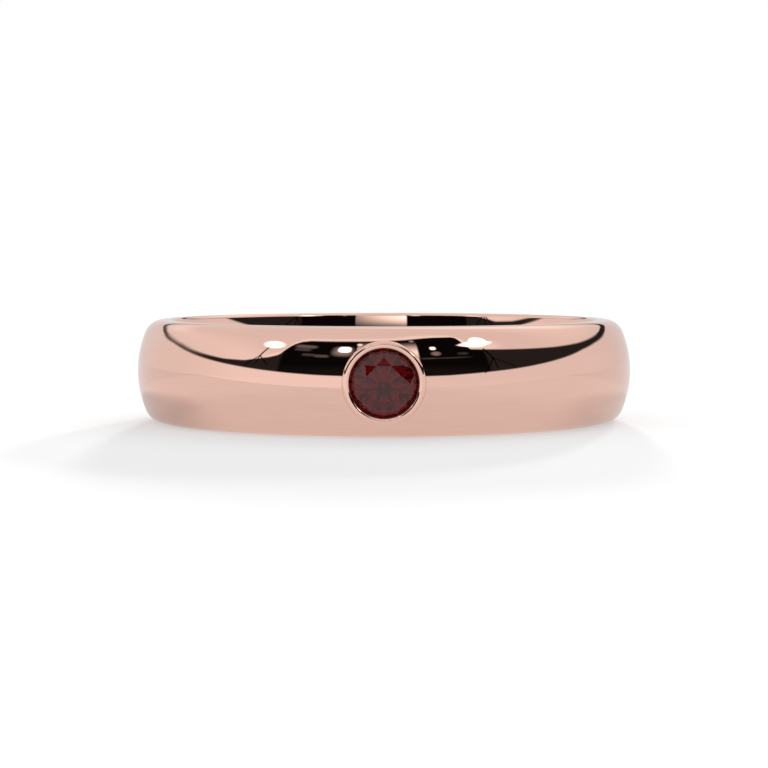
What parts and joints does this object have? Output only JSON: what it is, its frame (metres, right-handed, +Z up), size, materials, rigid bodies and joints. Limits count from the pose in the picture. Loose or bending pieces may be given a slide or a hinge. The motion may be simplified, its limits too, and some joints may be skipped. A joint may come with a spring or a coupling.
{
  "type": "garnet ring",
  "caption": "Domed rose gold finger ring with a round collar on its front that holds a round faceted dark red garnet.",
  "frame": {"origin": "on the axis of the finger hole, in the plane of the flat side that the ring lies on", "axes": "+Z up along the axis of the finger hole, -Y out through the table of the stone, +X to the right as seen from the front"},
  "size_m": [0.0196, 0.0199, 0.004],
  "materials": {
    "rose_gold": "mirror polished",
    "garnet": "faceted and polished"
  },
  "bodies": {
    "root": {"band": "rose_gold", "garnet": "garnet"}
  },
  "joints": []
}
